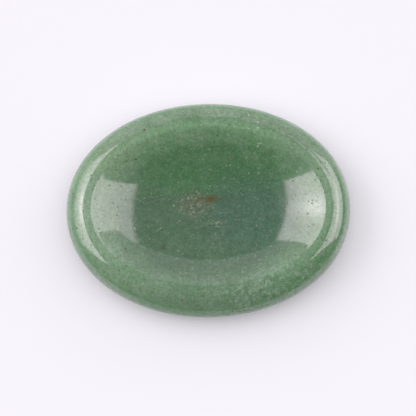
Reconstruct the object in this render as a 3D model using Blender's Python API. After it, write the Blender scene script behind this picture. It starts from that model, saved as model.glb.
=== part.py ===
"""Oval worry stone: one polished pebble with a thumb dish ground into its top.

Plain Blender Python, in metres with +Z up. The origin is the middle of the small flat
spot that the stone rests on, +X runs along its length and +Y across it.
"""

import math

import bmesh
import bpy

MM = 0.001

# Driving dimensions in millimetres
LENGTH = 40.0
WIDTH = 30.3
THICKNESS = 7.2
GIRDLE_HEIGHT = 3.6
DISH_LENGTH = 34.1
DISH_WIDTH = 23.2
DISH_DEPTH = 4.1
END_DROP = 0.5
LIP_WIDTH = 0.5
BACK_DROP = 3.72

# Form of the curves
OVAL_POWER = 2.045
RIM_POWER = 1.15
BACK_POWER = 2.8

# Steps of the mesh
SEGMENTS = 80
DISH_STEPS = 9
LIP_STEPS = 7
RIM_STEPS = 9
BACK_STEPS = 9
LIP_START = 0.84

# The stone's colour in linear RGB
STONE_GREEN = (0.115, 0.185, 0.122, 1.0)
STONE_ROUGHNESS = 0.12


def clear_scene():
    for old in list(bpy.data.objects):
        bpy.data.objects.remove(old, do_unlink=True)


def oval(length, width, angle):
    """The point at this angle of an oval a hair fuller than an ellipse, in the XY plane."""
    power = 2.0 / OVAL_POWER
    along = math.cos(angle)
    across = math.sin(angle)
    x = math.copysign(abs(along) ** power, along) * length / 2
    y = math.copysign(abs(across) ** power, across) * width / 2
    return x, y


def crest_height(angle):
    """The crest is highest at the stone's sides and END_DROP lower at its two ends."""
    return THICKNESS - END_DROP * math.cos(angle) ** 2


def dish_point(share, angle):
    """A point of the dish, at this share of the way from its middle (0) to its crest (1).

    The wheel leaves a paraboloid, and polishing turns its lip over within LIP_WIDTH.
    """
    crest_x, crest_y = oval(DISH_LENGTH, DISH_WIDTH, angle)
    lip_power = math.hypot(crest_x, crest_y) / LIP_WIDTH + 2
    bowl = (1 - share**2) / 2
    lip = (1 - share**lip_power) / lip_power
    fall = (bowl - lip) / (0.5 - 1 / lip_power)
    middle = THICKNESS - DISH_DEPTH
    top = crest_height(angle)
    return crest_x * share, crest_y * share, top - (top - middle) * fall


def rim_point(turn, angle):
    """A point of the rounded rim, turning from the crest (0) down to the girdle (a quarter turn)."""
    crest_x, crest_y = oval(DISH_LENGTH, DISH_WIDTH, angle)
    edge_x, edge_y = oval(LENGTH, WIDTH, angle)
    way = math.sin(turn) ** RIM_POWER
    rise = crest_height(angle) - GIRDLE_HEIGHT
    x = crest_x + (edge_x - crest_x) * way
    y = crest_y + (edge_y - crest_y) * way
    return x, y, GIRDLE_HEIGHT + rise * math.cos(turn)


def back_point(turn, angle):
    """A point of the domed back, turning from the girdle (0) in under the stone."""
    power = 2 / BACK_POWER
    x, y = oval(LENGTH, WIDTH, angle)
    share = math.cos(turn) ** power
    return x * share, y * share, GIRDLE_HEIGHT - BACK_DROP * math.sin(turn) ** power


def dish_shares():
    """Even steps over the bowl, then ever closer ones over the lip."""
    bowl = [LIP_START * step / DISH_STEPS for step in range(1, DISH_STEPS + 1)]
    lip = [1 - (1 - LIP_START) * (1 - step / LIP_STEPS) ** 1.6 for step in range(1, LIP_STEPS + 1)]
    return bowl + lip


def rim_turns():
    return [math.pi / 2 * step / RIM_STEPS for step in range(1, RIM_STEPS + 1)]


def back_turns():
    """Steps from below the girdle to the edge of the flat spot, where the dome meets Z = 0."""
    last = math.asin((GIRDLE_HEIGHT / BACK_DROP) ** (BACK_POWER / 2))
    return [last * step / BACK_STEPS for step in range(1, BACK_STEPS + 1)]


def add_ring(bm, surface, step):
    """A closed ring of vertices round one of the stone's surfaces."""
    ring = []
    for index in range(SEGMENTS):
        x, y, z = surface(step, 2 * math.pi * index / SEGMENTS)
        ring.append(bm.verts.new((x * MM, y * MM, z * MM)))
    return ring


def stone_mesh():
    bm = bmesh.new()
    middle = bm.verts.new((0.0, 0.0, (THICKNESS - DISH_DEPTH) * MM))
    rings = [add_ring(bm, dish_point, share) for share in dish_shares()]
    rings += [add_ring(bm, rim_point, turn) for turn in rim_turns()]
    rings += [add_ring(bm, back_point, turn) for turn in back_turns()]
    for index in range(SEGMENTS):
        after = (index + 1) % SEGMENTS
        bm.faces.new((middle, rings[0][index], rings[0][after]))
        for inner, outer in zip(rings[:-1], rings[1:]):
            bm.faces.new((inner[index], outer[index], outer[after], inner[after]))
    bm.faces.new(reversed(rings[-1]))
    bmesh.ops.recalc_face_normals(bm, faces=bm.faces)
    mesh = bpy.data.meshes.new("worry_stone")
    bm.to_mesh(mesh)
    bm.free()
    mesh.shade_smooth()
    return mesh


def stone_material():
    material = bpy.data.materials.new("polished_green_stone")
    material.use_nodes = True
    shader = material.node_tree.nodes["Principled BSDF"]
    shader.inputs["Base Color"].default_value = STONE_GREEN
    shader.inputs["Roughness"].default_value = STONE_ROUGHNESS
    shader.inputs["Metallic"].default_value = 0.0
    material.diffuse_color = STONE_GREEN
    return material


def build_stone():
    mesh = stone_mesh()
    mesh.materials.append(stone_material())
    stone = bpy.data.objects.new("worry_stone", mesh)
    bpy.context.scene.collection.objects.link(stone)


clear_scene()
build_stone()
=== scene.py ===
# %% [markdown]
# # A polished green worry stone
#
# A worry stone is an oval pebble with a dish for the thumb ground into its top. This lesson
# dresses the plain CAD solid: it builds the smooth polished surface with Geometry Nodes, gives
# it a layered stone material, and lights it as a small stone is lit on a pale glass table.

# %% Load the frame
import math

import bpy
from mathutils import Matrix, Vector


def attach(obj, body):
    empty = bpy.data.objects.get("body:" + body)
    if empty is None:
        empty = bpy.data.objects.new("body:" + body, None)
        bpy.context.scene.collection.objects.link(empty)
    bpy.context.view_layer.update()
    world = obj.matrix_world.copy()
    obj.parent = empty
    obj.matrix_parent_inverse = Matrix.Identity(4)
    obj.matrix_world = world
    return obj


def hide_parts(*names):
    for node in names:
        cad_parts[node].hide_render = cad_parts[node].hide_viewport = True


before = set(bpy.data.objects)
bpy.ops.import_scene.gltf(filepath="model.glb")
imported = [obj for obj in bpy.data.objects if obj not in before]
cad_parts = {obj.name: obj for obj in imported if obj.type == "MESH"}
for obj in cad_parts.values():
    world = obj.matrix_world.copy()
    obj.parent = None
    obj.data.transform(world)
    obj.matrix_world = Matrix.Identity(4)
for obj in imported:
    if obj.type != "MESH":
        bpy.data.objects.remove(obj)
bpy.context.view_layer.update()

# %% [markdown]
# ## The stone's measures
#
# Every size is a real one, in millimetres, and is the same as in the CAD solid: the oval
# outline, the height of the girdle (the widest line round the stone), the dish and its lip,
# and how far the domed back falls below the girdle. Blender works in metres, so `MM` turns
# one into the other.

# %% Measures
MM = 0.001
LENGTH = 40.0
WIDTH = 30.3
THICKNESS = 7.2
GIRDLE_HEIGHT = 3.6
DISH_LENGTH = 34.1
DISH_WIDTH = 23.2
DISH_DEPTH = 4.1
END_DROP = 0.5
LIP_WIDTH = 0.5
BACK_DROP = 3.72
OVAL_POWER = 2.045
RIM_POWER = 1.15
BACK_POWER = 2.8
print("stone:", LENGTH, "x", WIDTH, "x", THICKNESS, "mm")

# %% [markdown]
# ## Helpers for node trees
#
# Geometry Nodes and materials are both trees of nodes joined by links. `put` adds one node and
# fills its inputs, from a number or from another node's output, and `calc` adds one Math node
# and hands back its result, so that a formula can be written almost as on paper. The other
# helpers save the same few nodes from being written out again and again.


# %% Node helpers
def put(tree, kind, inputs=None, **settings):
    """One node with its settings and inputs, where an input is a value or another node's output."""
    made = tree.nodes.new(kind)
    for name, value in settings.items():
        setattr(made, name, value)
    for key, value in (inputs or {}).items():
        if isinstance(value, bpy.types.NodeSocket):
            tree.links.new(value, made.inputs[key])
        else:
            made.inputs[key].default_value = value
    return made


def calc(tree, operation, *values):
    """The result of one Math node."""
    made = put(tree, "ShaderNodeMath", dict(enumerate(values)), operation=operation)
    return made.outputs[0]


def vector_calc(tree, operation, first, second):
    """The result of one Vector Math node."""
    made = put(tree, "ShaderNodeVectorMath", {0: first, 1: second}, operation=operation)
    return made.outputs[0]


def length_of(tree, x, y):
    """How far the point x, y is from the middle."""
    squares = calc(tree, "ADD", calc(tree, "POWER", x, 2.0), calc(tree, "POWER", y, 2.0))
    return calc(tree, "SQRT", squares)


def eased(tree, value, low, high, start=0.0, end=1.0):
    """A value spread from one range to another, eased at both ends."""
    ranges = {"Value": value, "From Min": low, "From Max": high, "To Min": start, "To Max": end}
    made = put(tree, "ShaderNodeMapRange", ranges, interpolation_type="SMOOTHSTEP")
    return made.outputs[0]


def named_inputs(tree, sockets):
    """Adds named inputs to a tree, given as name, kind and value, and hands back its input node."""
    for name, kind, value in sockets:
        socket = tree.interface.new_socket(name, in_out="INPUT", socket_type="NodeSocket" + kind)
        if value is not None:
            socket.default_value = value
    return tree.nodes.new("NodeGroupInput").outputs


print("helpers ready")

# %% [markdown]
# ## The shape, as a rule
#
# A stone like this is ground by turning it against a wheel, so its shape follows a rule: the
# same section runs round an oval. It could be sculpted by hand, but a rule gives a surface
# whose reflections run clean. A UV sphere already is a closed skin of rings and spokes, so
# the tree below starts from one and moves each point. Its angle round the Z axis picks the
# place on the oval. Its angle down from the top picks the place on the section: dish, rim,
# domed back or flat spot.

# %% The tree and its inputs
# Rings are counted down from the top, and each stretch of the section starts at one of them
SPOKES = 288
RIM_START = 84
BACK_START = 140
FLAT_START = 188
RINGS = 200

shape_tree = bpy.data.node_groups.new("dished oval stone", "GeometryNodeTree")
shape_tree.interface.new_socket("Geometry", in_out="OUTPUT", socket_type="NodeSocketGeometry")
SHAPE_VALUES = {
    "Length": LENGTH * MM,
    "Width": WIDTH * MM,
    "Thickness": THICKNESS * MM,
    "Girdle Height": GIRDLE_HEIGHT * MM,
    "Dish Length": DISH_LENGTH * MM,
    "Dish Width": DISH_WIDTH * MM,
    "Dish Depth": DISH_DEPTH * MM,
    "End Drop": END_DROP * MM,
    "Lip Width": LIP_WIDTH * MM,
    "Back Drop": BACK_DROP * MM,
    "Oval Power": OVAL_POWER,
    "Rim Power": RIM_POWER,
    "Back Power": BACK_POWER,
}
shape_inputs = [(name, "Float", value) for name, value in SHAPE_VALUES.items()]
size_in = named_inputs(shape_tree, shape_inputs)
shape_tree.interface.new_socket("Stone", in_out="INPUT", socket_type="NodeSocketMaterial")


def form(operation, *values):
    """The result of one Math node in the shape's tree."""
    return calc(shape_tree, operation, *values)


print("named sizes:", len(SHAPE_VALUES))

# %% [markdown]
# The oval is a hair fuller than an ellipse: each of its two coordinates is the cosine or sine
# of the angle, raised to a power a little under one and given its sign back.

# %% The oval
ball = {"Segments": SPOKES, "Rings": RINGS, "Radius": 1.0}
skin = put(shape_tree, "GeometryNodeMeshUVSphere", ball)
place = put(shape_tree, "GeometryNodeInputPosition")
apart = put(shape_tree, "ShaderNodeSeparateXYZ", {0: place.outputs[0]}).outputs
round_angle = form("ARCTAN2", apart[1], apart[0])
reach = length_of(shape_tree, apart[0], apart[1])
down = form("DIVIDE", form("ARCTAN2", reach, apart[2]), math.pi)


def oval_side(wave):
    """Half of the oval's coordinate for a length of 1, from the cosine or sine of the angle."""
    power = form("DIVIDE", 2.0, size_in["Oval Power"])
    bent = form("POWER", form("ABSOLUTE", wave), power)
    return form("MULTIPLY", form("MULTIPLY", bent, form("SIGN", wave)), 0.5)


along = oval_side(form("COSINE", round_angle))
across = oval_side(form("SINE", round_angle))
crest_x = form("MULTIPLY", along, size_in["Dish Length"])
crest_y = form("MULTIPLY", across, size_in["Dish Width"])
edge_x = form("MULTIPLY", along, size_in["Length"])
edge_y = form("MULTIPLY", across, size_in["Width"])
print("oval nodes:", len(shape_tree.nodes))

# %% [markdown]
# The section has four stretches, one after the other. Each gets its own share, which runs from
# 0 at its start to 1 at its end and stays there, so the four effects simply add up. The dish is
# a paraboloid whose lip is turned over within half a millimetre by the polishing, and its rings
# crowd together toward that lip. The rim is close to a quarter circle, and the back is a flatter
# dome that ends in the flat spot.

# %% The section
LIP_CROWDING = 1.6


def share_between(first, last):
    """How far down this stretch of rings a point is, from 0 to 1."""
    stretch = {"Value": down, "From Min": first / RINGS, "From Max": last / RINGS}
    return put(shape_tree, "ShaderNodeMapRange", stretch).outputs[0]


dish_way = share_between(0, RIM_START)
rim_way = share_between(RIM_START, BACK_START)
back_way = share_between(BACK_START, FLAT_START)
flat_way = share_between(FLAT_START, RINGS)

left_over = form("POWER", form("SUBTRACT", 1.0, dish_way), LIP_CROWDING)
dish_share = form("SUBTRACT", 1.0, left_over)
crest_reach = length_of(shape_tree, crest_x, crest_y)
lip_power = form("ADD", form("DIVIDE", crest_reach, size_in["Lip Width"]), 2.0)
bowl = form("DIVIDE", form("SUBTRACT", 1.0, form("POWER", dish_share, 2.0)), 2.0)
lip = form("DIVIDE", form("SUBTRACT", 1.0, form("POWER", dish_share, lip_power)), lip_power)
full_fall = form("SUBTRACT", 0.5, form("DIVIDE", 1.0, lip_power))
dish_fall = form("DIVIDE", form("SUBTRACT", bowl, lip), full_fall)

rim_turn = form("MULTIPLY", rim_way, math.pi / 2)
rim_out = form("POWER", form("SINE", rim_turn), size_in["Rim Power"])
rim_drop = form("SUBTRACT", 1.0, form("COSINE", rim_turn))

half_power = form("DIVIDE", size_in["Back Power"], 2.0)
back_bend = form("DIVIDE", 1.0, half_power)
flat_depth = form("DIVIDE", size_in["Girdle Height"], size_in["Back Drop"])
back_end = form("ARCSINE", form("POWER", flat_depth, half_power))
back_turn = form("MULTIPLY", back_way, back_end)
back_in = form("POWER", form("COSINE", back_turn), back_bend)
back_fall = form("POWER", form("SINE", back_turn), back_bend)
inward = form("MULTIPLY", form("MULTIPLY", dish_share, back_in), form("SUBTRACT", 1.0, flat_way))
print("section nodes:", len(shape_tree.nodes))

# %% [markdown]
# Now every point gets its place. The last nodes shade the skin smooth, make it real and give
# it its material.


# %% Place the points
def side(crest, edge):
    """One horizontal coordinate: out from the crest to the edge, then in again."""
    outward = form("MULTIPLY", form("SUBTRACT", edge, crest), rim_out)
    return form("MULTIPLY", form("ADD", crest, outward), inward)


end_share = form("POWER", form("COSINE", round_angle), 2.0)
end_drop = form("MULTIPLY", end_share, size_in["End Drop"])
crest_height = form("SUBTRACT", size_in["Thickness"], end_drop)
depth_here = form("SUBTRACT", size_in["Dish Depth"], end_drop)
into_dish = form("MULTIPLY", dish_fall, depth_here)
rise = form("SUBTRACT", crest_height, size_in["Girdle Height"])
below_crest = form("MULTIPLY", rim_drop, rise)
below_girdle = form("MULTIPLY", back_fall, size_in["Back Drop"])
fallen = form("ADD", form("ADD", into_dish, below_crest), below_girdle)
height = form("MAXIMUM", form("SUBTRACT", crest_height, fallen), 0.0)
point = {0: side(crest_x, edge_x), 1: side(crest_y, edge_y), 2: height}
spot = put(shape_tree, "ShaderNodeCombineXYZ", point).outputs[0]
moving = {"Geometry": skin.outputs["Mesh"], "Position": spot}
moved = put(shape_tree, "GeometryNodeSetPosition", moving)
smooth = put(shape_tree, "GeometryNodeSetShadeSmooth", {"Geometry": moved.outputs[0]})
real = put(shape_tree, "GeometryNodeRealizeInstances", {"Geometry": smooth.outputs[0]})
stone_in = shape_tree.nodes.new("NodeGroupInput").outputs["Stone"]
dressing = {"Geometry": real.outputs[0], "Material": stone_in}
dressed = put(shape_tree, "GeometryNodeSetMaterial", dressing)
put(shape_tree, "NodeGroupOutput", {"Geometry": dressed.outputs[0]})
print("all nodes:", len(shape_tree.nodes))

# %% [markdown]
# ## Two effects that the stone uses again and again
#
# A natural stone is a body colour with things in it. Two shader groups make most of them.
# `patch` is a soft-edged lump of another colour, a stretched ball whose edge is ragged by
# noise. It makes the colour zones, the veils, the inclusion, the brown spots and the scuff.
# `flecks` scatters grains through the whole stone, and the polished surface shows those it
# cuts. Both work in millimetres.

# %% The patch group
patch = bpy.data.node_groups.new("patch", "ShaderNodeTree")
patch.interface.new_socket("Mask", in_out="OUTPUT", socket_type="NodeSocketFloat")
patch_in = named_inputs(
    patch,
    [
        ("Place", "Vector", None),
        ("Centre", "Vector", (0.0, 0.0, 0.0)),
        ("Half Size", "Vector", (1.0, 1.0, 1.0)),
        ("Turn", "Float", 0.0),
        ("Softness", "Float", 0.3),
        ("Ragged", "Float", 0.0),
        ("Grain", "Float", 1.0),
    ],
)
stirring = {"Vector": patch_in["Place"], "Scale": patch_in["Grain"], "Detail": 3.0}
swirl = put(patch, "ShaderNodeTexNoise", stirring).outputs["Color"]
swirl_off = vector_calc(patch, "SUBTRACT", swirl, (0.5, 0.5, 0.5))
scaling = {0: swirl_off, "Scale": patch_in["Ragged"]}
swirl_far = put(patch, "ShaderNodeVectorMath", scaling, operation="SCALE").outputs[0]
shifted = vector_calc(patch, "ADD", patch_in["Place"], swirl_far)
centred = vector_calc(patch, "SUBTRACT", shifted, patch_in["Centre"])
turning = {"Vector": centred, "Angle": patch_in["Turn"]}
turned = put(patch, "ShaderNodeVectorRotate", turning, rotation_type="Z_AXIS").outputs[0]
stretched = vector_calc(patch, "DIVIDE", turned, patch_in["Half Size"])
far_out = put(patch, "ShaderNodeVectorMath", {0: stretched}, operation="LENGTH").outputs["Value"]
outer = calc(patch, "ADD", 1.0, patch_in["Softness"])
inner = calc(patch, "SUBTRACT", 1.0, patch_in["Softness"])
put(patch, "NodeGroupOutput", {"Mask": eased(patch, far_out, outer, inner)})
print("patch group:", len(patch.nodes), "nodes")

# %% The flecks group
LEAST_GRAIN = 0.55
GRAIN_SPREAD = 0.9
GRAIN_CORE = 0.55
flecks = bpy.data.node_groups.new("flecks", "ShaderNodeTree")
flecks.interface.new_socket("Mask", in_out="OUTPUT", socket_type="NodeSocketFloat")
flecks.interface.new_socket("Tone", in_out="OUTPUT", socket_type="NodeSocketFloat")
fleck_in = named_inputs(
    flecks,
    [
        ("Place", "Vector", None),
        ("Spacing", "Float", 1.0),
        ("Radius", "Float", 0.1),
        ("Share", "Float", 0.5),
        ("Start", "Vector", (0.0, 0.0, 0.0)),
    ],
)
moved_grains = vector_calc(flecks, "ADD", fleck_in["Place"], fleck_in["Start"])
per_mm = calc(flecks, "DIVIDE", 1.0, fleck_in["Spacing"])
scatter = {"Vector": moved_grains, "Scale": per_mm, "Randomness": 1.0}
grains = put(flecks, "ShaderNodeTexVoronoi", scatter, feature="F1")
lots = put(flecks, "ShaderNodeSeparateXYZ", {0: grains.outputs["Color"]}).outputs
from_grain = calc(flecks, "MULTIPLY", grains.outputs["Distance"], fleck_in["Spacing"])
size_lot = calc(flecks, "ADD", LEAST_GRAIN, calc(flecks, "MULTIPLY", lots[1], GRAIN_SPREAD))
grain_size = calc(flecks, "MULTIPLY", fleck_in["Radius"], size_lot)
grain_core = calc(flecks, "MULTIPLY", grain_size, GRAIN_CORE)
grain_spot = eased(flecks, from_grain, grain_size, grain_core)
is_there = calc(flecks, "LESS_THAN", lots[0], fleck_in["Share"])
shown_grain = calc(flecks, "MULTIPLY", grain_spot, is_there)
put(flecks, "NodeGroupOutput", {"Mask": shown_grain, "Tone": lots[2]})
print("flecks group:", len(flecks.nodes), "nodes")

# %% [markdown]
# ## The stone material
#
# The material is built in layers, as the stone is. First comes the body. It is deep green and a little
# blue in the dish, and paler at the two ends of the rim: partly the stone's own colour, and partly
# painted shade in the dish and painted light at the thin ends. Below the crest its sides are greener,
# with a pale outer edge that is partly the stone's paler edge and partly a painted reflection of the
# table and painted light through the thin edge. The far side outside the crest has painted shade, and
# the far crest and the dish wall just inside it have painted light. Milky clouds, curds and clumps lie
# over all this. Object coordinates, turned into millimetres by a Mapping node, carry every pattern, so
# nothing slides when the stone moves.

# %% Helpers for the stone's look
PER_METRE = (1000.0, 1000.0, 1000.0)
stone = bpy.data.materials.new("polished_green_stone")
stone.use_nodes = True
look = stone.node_tree
look.nodes.clear()
own_place = put(look, "ShaderNodeTexCoord").outputs["Object"]
mm = put(look, "ShaderNodeMapping", {"Vector": own_place, "Scale": PER_METRE}).outputs[0]


def blend(base, over, mask):
    """One colour laid over another where the mask is."""
    made = put(look, "ShaderNodeMix", data_type="RGBA")
    colours = [socket for socket in made.inputs if socket.type == "RGBA"]
    for socket, value in zip([made.inputs[0], *colours], (mask, base, over)):
        if isinstance(value, bpy.types.NodeSocket):
            look.links.new(value, socket)
        else:
            socket.default_value = value
    return next(socket for socket in made.outputs if socket.type == "RGBA")


def times(mask, amount):
    """A mask made weaker, or the place where two masks meet."""
    return calc(look, "MULTIPLY", mask, amount)


def all_but(mask, other):
    """The second mask, but not where the first one is."""
    return times(calc(look, "SUBTRACT", 1.0, mask), other)


def noise(lumps, detail=3.0, roughness=0.5):
    """Noise with about this many lumps to a millimetre."""
    values = {"Vector": mm, "Scale": lumps, "Detail": detail, "Roughness": roughness}
    return put(look, "ShaderNodeTexNoise", values).outputs["Fac"]


def between(value, low, high, start=0.0, end=1.0):
    """A value of the stone spread over a range, eased at both ends."""
    return eased(look, value, low, high, start, end)


def lay_patch(centre, half_size, turn=0.0, softness=0.3, ragged=0.0, grain=1.0):
    """The mask of one patch, placed in millimetres and turned in degrees."""
    values = {
        "Place": mm,
        "Centre": centre,
        "Half Size": half_size,
        "Turn": math.radians(turn),
        "Softness": softness,
        "Ragged": ragged,
        "Grain": grain,
    }
    return put(look, "ShaderNodeGroup", values, node_tree=patch).outputs["Mask"]


def lay_zones(base, *zones):
    """Colours laid over the body, each given as its colour, its strength and its patch's values."""
    for colour, strength, *values in zones:
        base = blend(base, colour, times(lay_patch(*values), strength))
    return base


def lay_flecks(spacing, radius, share, start):
    """The mask and the tone of one scatter of grains."""
    values = {"Place": mm, "Spacing": spacing, "Radius": radius, "Share": share, "Start": start}
    return put(look, "ShaderNodeGroup", values, node_tree=flecks).outputs


print("look helpers ready")

# %% The body of the stone
RIM_GREEN = (0.163, 0.287, 0.162, 1.0)
END_GREEN = (0.255, 0.378, 0.250, 1.0)
DISH_GREEN_AND_SHADE = (0.087, 0.163, 0.097, 1.0)
DEEP_GREEN = (0.076, 0.196, 0.080, 1.0)
TEAL = (0.070, 0.144, 0.100, 1.0)
LEAF_GREEN = (0.220, 0.345, 0.190, 1.0)
SIDE_GREEN = (0.140, 0.365, 0.146, 1.0)
FAR_SHADE_GREEN = (0.115, 0.205, 0.112, 1.0)
CREST_LIT_GREEN = (0.160, 0.330, 0.150, 1.0)
CORNER_GREEN = (0.088, 0.245, 0.094, 1.0)
EDGE_PALE_AND_REFLECTION = (0.370, 0.445, 0.360, 1.0)
TIP_PALE_AND_LIGHT = (0.400, 0.500, 0.390, 1.0)
MILKY = (0.300, 0.400, 0.300, 1.0)

# Where each of these begins and is full, in millimetres along one axis
FAR_SIDE = (4.0, 9.0)
FAR_WALL = (5.0, 8.5)
MIDDLE = (13.0, 8.0)
BELOW_CREST = (6.5, 5.3)
OUTER_EDGE = (5.7, 4.9)
NEAR_SIDE = (-12.0, -14.2)

# A zone is a colour, its strength, and its patch's centre, half size, turn, softness, raggedness
# and grain
# The paler rim ends are partly the stone's colour and partly painted light shining through the thin ends
body = lay_zones(
    RIM_GREEN,
    (END_GREEN, 0.85, (-19.5, 4.0, 5.0), (8.7, 12.0, 8.0), 0.0, 0.45, 3.0, 0.25),
    (END_GREEN, 0.50, (18.5, 6.0, 5.0), (7.5, 9.0, 8.0), 0.0, 0.40, 3.0, 0.25),
)
# The darker dish is partly the stone's deeper green and partly painted shade
in_dish = lay_patch((0.0, -1.6, 4.0), (13.0, 10.2, 8.0), 0.0, 0.34, 1.6, 0.22)
body = lay_zones(
    blend(body, DISH_GREEN_AND_SHADE, in_dish),
    (DEEP_GREEN, 0.90, (1.5, 6.0, 5.0), (11.5, 4.4, 5.0), -2.0, 0.45, 1.6, 0.25),
    (LEAF_GREEN, 0.80, (-14.0, 7.8, 5.0), (3.8, 2.6, 4.0), -32.0, 0.50, 2.0, 0.30),
    (CORNER_GREEN, 0.65, (12.6, -10.8, 5.0), (5.0, 2.4, 4.0), -30.0, 0.70, 2.0, 0.50),
    # Painted light: these two pale patches lighten the far crest
    (END_GREEN, 0.40, (-8.2, 9.9, 6.0), (5.5, 1.2, 3.0), -20.0, 0.60, 1.2, 0.40),
    (END_GREEN, 0.35, (9.7, 9.4, 6.0), (5.5, 1.2, 3.0), 24.0, 0.60, 1.2, 0.40),
    (TEAL, 0.70, (5.5, -0.5, 4.0), (6.5, 5.2, 5.0), 10.0, 0.60, 3.0, 0.30),
)

# Painted shade: the far side outside the crest is darker. Painted light: just inside the far crest the
# dish wall is greener and lighter.
apart_mm = put(look, "ShaderNodeSeparateXYZ", {0: mm}).outputs
in_crest = lay_patch((0.0, 0.0, 7.0), (17.7, 12.2, 4.2), 0.0, 0.05)
far_side_shade = all_but(in_crest, between(apart_mm[1], *FAR_SIDE))
body = blend(body, FAR_SHADE_GREEN, times(far_side_shade, 0.55))
in_deep = lay_patch((1.0, 0.0, 5.0), (14.5, 9.6, 8.0), 0.0, 0.12, 1.5, 0.3)
off_middle = calc(look, "ABSOLUTE", apart_mm[0])
far_middle = times(between(apart_mm[1], *FAR_WALL), between(off_middle, *MIDDLE))
painted_crest_light = times(all_but(in_deep, in_crest), far_middle)
# Painted light on the dish wall just inside the far crest
body = blend(body, CREST_LIT_GREEN, times(painted_crest_light, 0.5))
near_left = (END_GREEN, 0.35, (-13.0, -9.8, 4.5), (6.0, 2.4, 5.0), 40.0, 0.60, 2.0, 0.30)
body = lay_zones(body, near_left)

# The sides are greener below the crest. The pale band toward the outer edge, most at the right tip, is
# partly the stone's paler edge and partly painted light: a painted reflection of the table and light
# shining through the thin edge.
under_crest = all_but(in_crest, between(apart_mm[2], *BELOW_CREST))
body = blend(body, SIDE_GREEN, times(under_crest, 0.5))
pale_edge_and_light = all_but(in_crest, between(apart_mm[2], *OUTER_EDGE))
near_side = between(apart_mm[1], *NEAR_SIDE)
body = blend(body, EDGE_PALE_AND_REFLECTION, times(all_but(near_side, pale_edge_and_light), 0.5))
right_tip = lay_patch((20.0, 0.0, 4.0), (3.6, 9.0, 6.0), 0.0, 0.3, 0.5, 0.4)
body = blend(body, TIP_PALE_AND_LIGHT, times(times(right_tip, pale_edge_and_light), 0.8))

# Milky clouds and finer curds are weaker in the dish, and clumps lie on the near right rim
clouds = between(noise(0.33, 4.0, 0.55), 0.40, 0.68)
body = blend(body, MILKY, times(clouds, between(in_dish, 0.0, 1.0, 0.26, 0.06)))
clumps = between(noise(1.5, 3.0, 0.6), 0.50, 0.62)
clump_zone = lay_patch((8.5, -11.4, 4.0), (10.5, 2.7, 5.0), -22.0, 0.6, 2.0, 0.4)
body = blend(body, MILKY, times(times(clumps, clump_zone), 0.7))
curds = between(noise(0.9, 3.0, 0.6), 0.48, 0.66)
body = blend(body, MILKY, times(curds, between(in_dish, 0.0, 1.0, 0.20, 0.07)))
print("body colour nodes:", len(look.nodes))

# %% [markdown]
# Then come the things in it: grains of pale mica, whose sparkle is a painted glint in the colour, brown
# specks, and a rust-brown inclusion in the middle of the dish with a pale veil beside it. Two brown
# spots, a trail of pale grains and a small scuff have their own places. These are only colour, so
# nothing is raised.

# %% Grains, specks and the brown inclusion
CREAM = (0.52, 0.53, 0.39, 1.0)
PINKISH = (0.48, 0.42, 0.34, 1.0)
SPECK_BROWN = (0.070, 0.056, 0.035, 1.0)
RUST = (0.110, 0.075, 0.016, 1.0)
RED_BROWN = (0.095, 0.064, 0.036, 1.0)
BLACK = (0.0, 0.0, 0.0, 1.0)

fine_grain = noise(2.2, 4.0, 0.85)
body = blend(body, BLACK, between(fine_grain, 0.35, 0.65, 0.30, 0.0))
# Pale mica grains with painted glints: each grain is lightened by its tone squared, which stands in for
# light glinting off the mica
for spacing, radius, share, start, strength in (
    (0.34, 0.09, 0.8, (4.0, 2.0, 6.0), 0.35),
    (0.55, 0.10, 0.8, (7.0, 3.0, 1.0), 0.45),
    (1.1, 0.12, 0.5, (1.0, 9.0, 4.0), 0.7),
):
    mica = lay_flecks(spacing, radius, share, start)
    grain_and_glint = times(mica["Mask"], calc(look, "POWER", mica["Tone"], 2.0))
    body = blend(body, CREAM, times(grain_and_glint, strength))

veil = lay_patch((-2.0, 1.0, 3.3), (2.1, 1.7, 1.2), 10.0, 0.6, 1.6, 1.2)
low_veil = lay_patch((1.0, -1.9, 3.3), (1.5, 0.45, 1.0), 8.0, 0.6, 1.2, 1.2)
veils = calc(look, "MAXIMUM", veil, low_veil)
body = blend(body, RED_BROWN, times(veil, 0.22))
veil_grain = between(noise(3.1, 4.0, 0.75), 0.47, 0.66)
body = blend(body, PINKISH, times(times(veils, veil_grain), 0.48))

cluster = lay_flecks(0.42, 0.15, 0.45, (6.0, 1.0, 3.0))["Mask"]
pale_trail = lay_patch((6.6, 10.9, 6.0), (0.9, 3.0, 2.0), -14.0, 0.5, 0.8, 0.6)
body = blend(body, CREAM, times(times(cluster, pale_trail), 0.7))
big_speck = lay_flecks(1.7, 0.19, 0.4, (2.0, 4.0, 6.0))["Mask"]
body = blend(body, SPECK_BROWN, times(big_speck, 0.75))
even_speck = lay_flecks(0.62, 0.12, 0.6, (3.0, 5.0, 8.0))["Mask"]
near_speck = lay_flecks(0.47, 0.105, 0.8, (5.3, 7.1, 3.4))["Mask"]
speck_zone = lay_patch((12.9, 0.6, 5.0), (2.6, 1.7, 3.0), 0.0, 0.5, 0.8, 0.6)
speck = calc(look, "MAXIMUM", even_speck, times(near_speck, speck_zone))
body = blend(body, SPECK_BROWN, times(speck, between(in_dish, 0.0, 1.0, 0.8, 0.5)))

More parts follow.
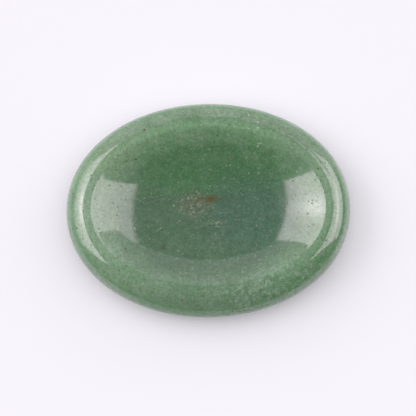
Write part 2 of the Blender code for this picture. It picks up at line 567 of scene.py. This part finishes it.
# The inclusion's halo and its core, then the two brown spots and the scuff
body = lay_zones(
    body,
    (RED_BROWN, 0.50, (0.1, 1.6, 3.3), (1.8, 0.45, 0.9), -4.0, 0.8, 1.4, 2.2),
    (RUST, 0.85, (0.40, 1.68, 3.2), (0.64, 0.36, 0.8), -6.0, 0.7, 1.1, 2.4),
    (RED_BROWN, 0.75, (-6.3, -5.3, 4.4), (0.42, 0.3, 0.6), 0.0, 0.7, 0.5, 2.4),
    (RED_BROWN, 0.75, (-11.8, -5.6, 5.6), (0.25, 0.22, 0.5), 0.0, 0.7, 0.4, 2.4),
    (MILKY, 0.50, (-10.2, 7.9, 5.6), (0.75, 0.16, 0.8), 4.0, 0.7, 0.3, 2.0),
)
print("with its grains:", len(look.nodes))

# %% [markdown]
# The polish is glassy, so the roughness is low and changes only a little from place to place.
# Specks break the surface as tiny pits, where the gloss fails. Some light also enters the
# stone and comes out again about a millimetre away.

# %% Polish
LEAST_ROUGH = 0.05
MOST_ROUGH = 0.10
PIT_ROUGH = 0.45
PIT_DEPTH = 0.012
RIPPLE_HEIGHT = 0.006
STONE_IOR = 1.54
INNER_LIGHT = 0.35
INNER_REACH = 1.2
ripple = noise(0.45, 1.0, 0.4)
relief = calc(look, "ADD", times(speck, -PIT_DEPTH), times(ripple, RIPPLE_HEIGHT))
bump = put(look, "ShaderNodeBump", {"Height": relief, "Strength": 1.0, "Distance": MM})
plain_rough = between(noise(0.8), 0.3, 0.7, LEAST_ROUGH, MOST_ROUGH)
rough = calc(look, "ADD", plain_rough, times(speck, PIT_ROUGH))
shader = put(
    look,
    "ShaderNodeBsdfPrincipled",
    {
        "Base Color": body,
        "Roughness": rough,
        "IOR": STONE_IOR,
        "Subsurface Weight": INNER_LIGHT,
        "Subsurface Radius": (1.0, 1.0, 1.0),
        "Subsurface Scale": INNER_REACH * MM,
        "Normal": bump.outputs[0],
    },
)
put(look, "ShaderNodeOutputMaterial", {"Surface": shader.outputs[0]})
print("material nodes:", len(look.nodes))

# %% [markdown]
# ## From tree to mesh
#
# A modifier on an empty mesh runs the tree. Its inputs are set by the sockets' identifiers
# before it is first evaluated. The result is then taken as a plain mesh, and the finished
# stone stands in for the CAD solid, which stays in the simulation.

# %% Make the stone
blank = bpy.data.objects.new("blank", bpy.data.meshes.new("blank"))
bpy.context.scene.collection.objects.link(blank)
maker = blank.modifiers.new("dished oval stone", "NODES")
maker.node_group = shape_tree
for item in shape_tree.interface.items_tree:
    if item.in_out == "INPUT" and item.name in SHAPE_VALUES:
        maker[item.identifier] = SHAPE_VALUES[item.name]
    if item.in_out == "INPUT" and item.name == "Stone":
        maker[item.identifier] = stone
bpy.context.view_layer.update()
evaluated = blank.evaluated_get(bpy.context.evaluated_depsgraph_get())
stone_mesh = bpy.data.meshes.new_from_object(evaluated)
stone_mesh.name = "polished_stone"
stone_mesh.materials.clear()
stone_mesh.materials.append(stone)
bpy.data.objects.remove(blank, do_unlink=True)
polished = bpy.data.objects.new("polished_stone", stone_mesh)
bpy.context.scene.collection.objects.link(polished)
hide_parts("worry_stone")
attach(polished, "root")
stone_mesh.calc_loop_triangles()
print("triangles:", len(stone_mesh.loop_triangles), "materials:", [m.name for m in stone_mesh.materials])

# %% [markdown]
# ## The table
#
# The stone lies on a small pane of pale milky glass, lit a little from below, so that its shadows stay
# thin. The pane ends a few centimetres from the stone. What lies past its edge is dim, and the lower
# part of the rim mirrors that as a thin dark line. The pane is only a stage.

# %% Table
TABLE_PALE = (0.675, 0.657, 0.692, 1.0)
TABLE_GLOW = (0.140, 0.134, 0.146, 1.0)
TABLE_ROUGH = 0.9
TABLE_REACH = 0.05
TABLE_NEAR = 0.037
corners = [
    (-TABLE_REACH, -TABLE_NEAR, 0.0),
    (TABLE_REACH, -TABLE_NEAR, 0.0),
    (TABLE_REACH, TABLE_REACH, 0.0),
    (-TABLE_REACH, TABLE_REACH, 0.0),
]
table_mesh = bpy.data.meshes.new("table")
table_mesh.from_pydata(corners, [], [(0, 1, 2, 3)])
table = bpy.data.objects.new("table", table_mesh)
bpy.context.scene.collection.objects.link(table)
pale = bpy.data.materials.new("pale_table")
pale.use_nodes = True
pale_shader = pale.node_tree.nodes["Principled BSDF"]
pale_shader.inputs["Base Color"].default_value = TABLE_PALE
pale_shader.inputs["Roughness"].default_value = TABLE_ROUGH
pale_shader.inputs["Specular IOR Level"].default_value = 0.0
pale_shader.inputs["Emission Color"].default_value = TABLE_GLOW
pale_shader.inputs["Emission Strength"].default_value = 1.0
table_mesh.materials.append(pale)
print("table:", round(2 * TABLE_REACH, 3), "x", round(TABLE_REACH + TABLE_NEAR, 3), "m")

# %% [markdown]
# ## The light
#
# On a gloss this clean, the lights are part of the picture: each bright shape on the stone is a
# mirror image of a lamp. Two large soft panels stand left and right, with a dim wall behind,
# and it is dark above, where the camera is. They could be lamp objects, but a world shader
# paints the same lights by direction, casts the same soft shadows and never blocks a camera.
# Directions are measured as on a sky chart: the zenith is its middle, and the horizon is a
# circle of 90 degrees.

# %% Sky chart
NOT_ZERO = 1e-5
world = bpy.data.worlds.new("two soft panels")
bpy.context.scene.world = world
world.use_nodes = True
sky = world.node_tree
sky.nodes.clear()
sight = put(sky, "ShaderNodeTexCoord").outputs["Generated"]
unit = put(sky, "ShaderNodeVectorMath", {0: sight}, operation="NORMALIZE").outputs[0]
toward = put(sky, "ShaderNodeSeparateXYZ", {0: unit}).outputs


def light_calc(operation, *values):
    """The result of one Math node in the world's tree."""
    return calc(sky, operation, *values)


level = light_calc("MAXIMUM", length_of(sky, toward[0], toward[1]), NOT_ZERO)
zenith = light_calc("MULTIPLY", light_calc("ARCTAN2", level, toward[2]), 180 / math.pi)
chart_x = light_calc("DIVIDE", light_calc("MULTIPLY", zenith, toward[0]), level)
chart_y = light_calc("DIVIDE", light_calc("MULTIPLY", zenith, toward[1]), level)
off_centre = light_calc("ABSOLUTE", chart_x)


def fade(value, start, end):
    """0 before start and 1 past end, with a soft step between."""
    return eased(sky, value, start, end)


def all_of(*masks):
    """Where all of these masks meet."""
    result = masks[0]
    for mask in masks[1:]:
        result = light_calc("MULTIPLY", result, mask)
    return result


def above_line(slope, height, soft):
    """1 where the chart's Y is above the line height + slope * |X|."""
    line = light_calc("MULTIPLY_ADD", off_centre, slope, height)
    return fade(light_calc("SUBTRACT", chart_y, line), -soft, soft)


def glow(x, y, wide, high):
    """A round soft glow on the chart."""
    away_x = light_calc("DIVIDE", light_calc("SUBTRACT", chart_x, x), wide)
    away_y = light_calc("DIVIDE", light_calc("SUBTRACT", chart_y, y), high)
    square = light_calc("POWER", length_of(sky, away_x, away_y), 2.0)
    return light_calc("EXPONENT", light_calc("MULTIPLY", square, -1.0))


print("sky chart ready")

# %% [markdown]
# Each panel starts about 30 degrees from the zenith and stops about 7 degrees above the
# horizon. Its lamp makes a hot spot in it, and the left panel dims toward its foot. A black
# card darkens the upper inner corner of the right panel. Behind the stone stands a dim wall
# with an arched lower edge.

# %% Panels and wall
LINE_SOFTNESS = 1.2
SIDE_SOFTNESS = 0.9
PANEL_BOW = 0.0036
LEFT_EDGE = 30.8
LEFT_MIDDLE = 0.0
RIGHT_EDGE = 29.75
RIGHT_MIDDLE = 9.0
PANEL_FOOT = (84.0, 82.0)
CARD_LOW = (27.7, 29.3)
CARD_SLOPE = 1.8
CARD_SIDE = (88.4, 91.4)
CARD_FAR = (60.0, 57.0)
CARD_DARKNESS = 0.8
LEFT_FALL = (100.0, 48.0)
LEFT_STRENGTH = 5.3
LEFT_HOT = 6.3
RIGHT_STRENGTH = 4.3
RIGHT_HOT = 4.4
WALL_EDGE = 58.2
WALL_ARCH = 0.026
WALL_SOFTNESS = 0.8


def past_edge(hand, edge, middle):
    """1 on one hand (-1 is left, 1 is right), past a panel's inner edge, which is a little bowed."""
    bowed = light_calc("POWER", light_calc("ABSOLUTE", light_calc("SUBTRACT", chart_y, middle)), 2.0)
    line = light_calc("MULTIPLY_ADD", bowed, -PANEL_BOW, edge)
    past = light_calc("SUBTRACT", light_calc("MULTIPLY", chart_x, hand), line)
    return fade(past, -SIDE_SOFTNESS, SIDE_SOFTNESS)


under_top = light_calc("SUBTRACT", 1.0, above_line(0.33, 32.0, LINE_SOFTNESS))
above_foot = fade(zenith, *PANEL_FOOT)
left_low = above_line(-0.55, -1.6, LINE_SOFTNESS)
left_lower = above_line(-0.05, -20.5, LINE_SOFTNESS)
right_low = above_line(-0.108, -14.3, LINE_SOFTNESS)
card_side = light_calc("MULTIPLY_ADD", chart_x, CARD_SLOPE, chart_y)
card = all_of(fade(chart_y, *CARD_LOW), fade(card_side, *CARD_SIDE), fade(zenith, *CARD_FAR))
past_card = light_calc("MULTIPLY_ADD", card, -CARD_DARKNESS, 1.0)
left_side = past_edge(-1.0, LEFT_EDGE, LEFT_MIDDLE)
right_side = past_edge(1.0, RIGHT_EDGE, RIGHT_MIDDLE)
left_panel = all_of(left_side, left_low, left_lower, above_foot, under_top)
right_panel = all_of(right_side, right_low, above_foot, under_top, past_card)

left_spread = light_calc("MULTIPLY", fade(zenith, *LEFT_FALL), LEFT_STRENGTH)
left_lamp = light_calc("MULTIPLY_ADD", glow(-43.0, 10.0, 9.0, 9.5), LEFT_HOT, left_spread)
right_lamp = light_calc("MULTIPLY_ADD", glow(55.0, 8.0, 8.0, 22.0), RIGHT_HOT, RIGHT_STRENGTH)
left_light = light_calc("MULTIPLY", left_panel, left_lamp)
right_light = light_calc("MULTIPLY", right_panel, right_lamp)

arched = light_calc("MULTIPLY_ADD", light_calc("POWER", off_centre, 2.0), WALL_ARCH, chart_y)
wall_edge = fade(arched, WALL_EDGE - WALL_SOFTNESS, WALL_EDGE + WALL_SOFTNESS)
wall = all_of(wall_edge, above_line(0.6, 0.0, 3.0))
print("sky nodes:", len(sky.nodes))

# %% [markdown]
# A glossy stone shows every lamp twice: once as the light that it scatters, which brings out its
# green, and once as a mirror image. A photographer sets the two apart with polarising film, and
# the world shader does so with the Light Path node. The scattered light also has a soft
# overhead lamp that fills the shadows, and the mirror images leave it out, so that the dish stays
# deep and clear.

# %% Scattered and mirrored light
SCATTER_TINT = (1.0, 0.99, 1.01, 1.0)
MIRROR_TINT = (1.0, 0.885, 0.95, 1.0)
BACKDROP = (0.93, 0.92, 0.95, 1.0)


def sum_of(*parts):
    """The sum of some lights, each given as its mask and its strength."""
    total = 0.0
    for mask, strength in parts:
        total = light_calc("MULTIPLY_ADD", mask, strength, total)
    return total


def shine(tint, strength):
    """Light of this tint from every direction, as strong as the chart says."""
    return put(sky, "ShaderNodeBackground", {"Color": tint, "Strength": strength}).outputs[0]


def choose(ray, usual, special):
    """The usual light, but the special one for rays of this kind."""
    return put(sky, "ShaderNodeMixShader", {0: ray, 1: usual, 2: special}).outputs[0]


overhead = glow(0.0, 5.0, 30.0, 30.0)
wall_foot = all_of(wall, fade(chart_y, 70.0, 78.0))
scattered = sum_of(
    (left_light, 0.38),
    (right_light, 0.19),
    (wall, 0.60),
    (overhead, 2.7),
    (1.0, 0.09),
)
both_panels = light_calc("ADD", left_light, right_light)
dim_room = sum_of((wall, 1.05), (wall_foot, 0.25), (1.0, 0.16))
mirrored = light_calc("MAXIMUM", both_panels, dim_room)
rays = put(sky, "ShaderNodeLightPath").outputs
on_stone = choose(rays["Is Glossy Ray"], shine(SCATTER_TINT, scattered), shine(MIRROR_TINT, mirrored))
seen = choose(rays["Is Camera Ray"], on_stone, shine(BACKDROP, 1.0))
put(sky, "ShaderNodeOutputWorld", {"Surface": seen})
print("world nodes:", len(sky.nodes))

# %% [markdown]
# ## The camera
#
# The camera looks down, 8 degrees off straight above towards the near side, through a long
# lens, so the stone is drawn almost without perspective. Its picture is 416 pixels wide. The
# distance is set so that one millimetre of the girdle covers 7.1 pixels, and a small roll
# lifts the stone's right end.

# %% Camera
LENS = 300.0
SENSOR = 36.0
PICTURE = 416
PIXELS_PER_MM = 7.095
LEAN = math.radians(8.0)
ROLL = math.radians(1.06)
AIM_RIGHT = -0.055
AIM_UP = 0.318
seen_width = PICTURE / PIXELS_PER_MM * MM
distance = seen_width * LENS / SENSOR
back = Vector((0.0, -math.sin(LEAN), math.cos(LEAN)))
upright = Vector((0.0, math.cos(LEAN), math.sin(LEAN)))
right = Vector((math.cos(ROLL), 0.0, 0.0)) - math.sin(ROLL) * upright
up = back.cross(right)
aim = Vector((0.0, 0.0, GIRDLE_HEIGHT * MM)) + up * (AIM_UP * MM) + right * (AIM_RIGHT * MM)
camera = bpy.data.objects.new("camera", bpy.data.cameras.new("camera"))
bpy.context.scene.collection.objects.link(camera)
camera.data.lens = LENS
camera.data.sensor_width = SENSOR
camera.data.clip_start = 0.05
camera.data.clip_end = 5.0
turn = Matrix((right, up, back)).transposed()
camera.matrix_world = Matrix.Translation(aim + back * distance) @ turn.to_4x4()
bpy.context.scene.camera = camera
bpy.context.scene.view_settings.view_transform = "Standard"
print("camera", round(distance, 4), "m away")
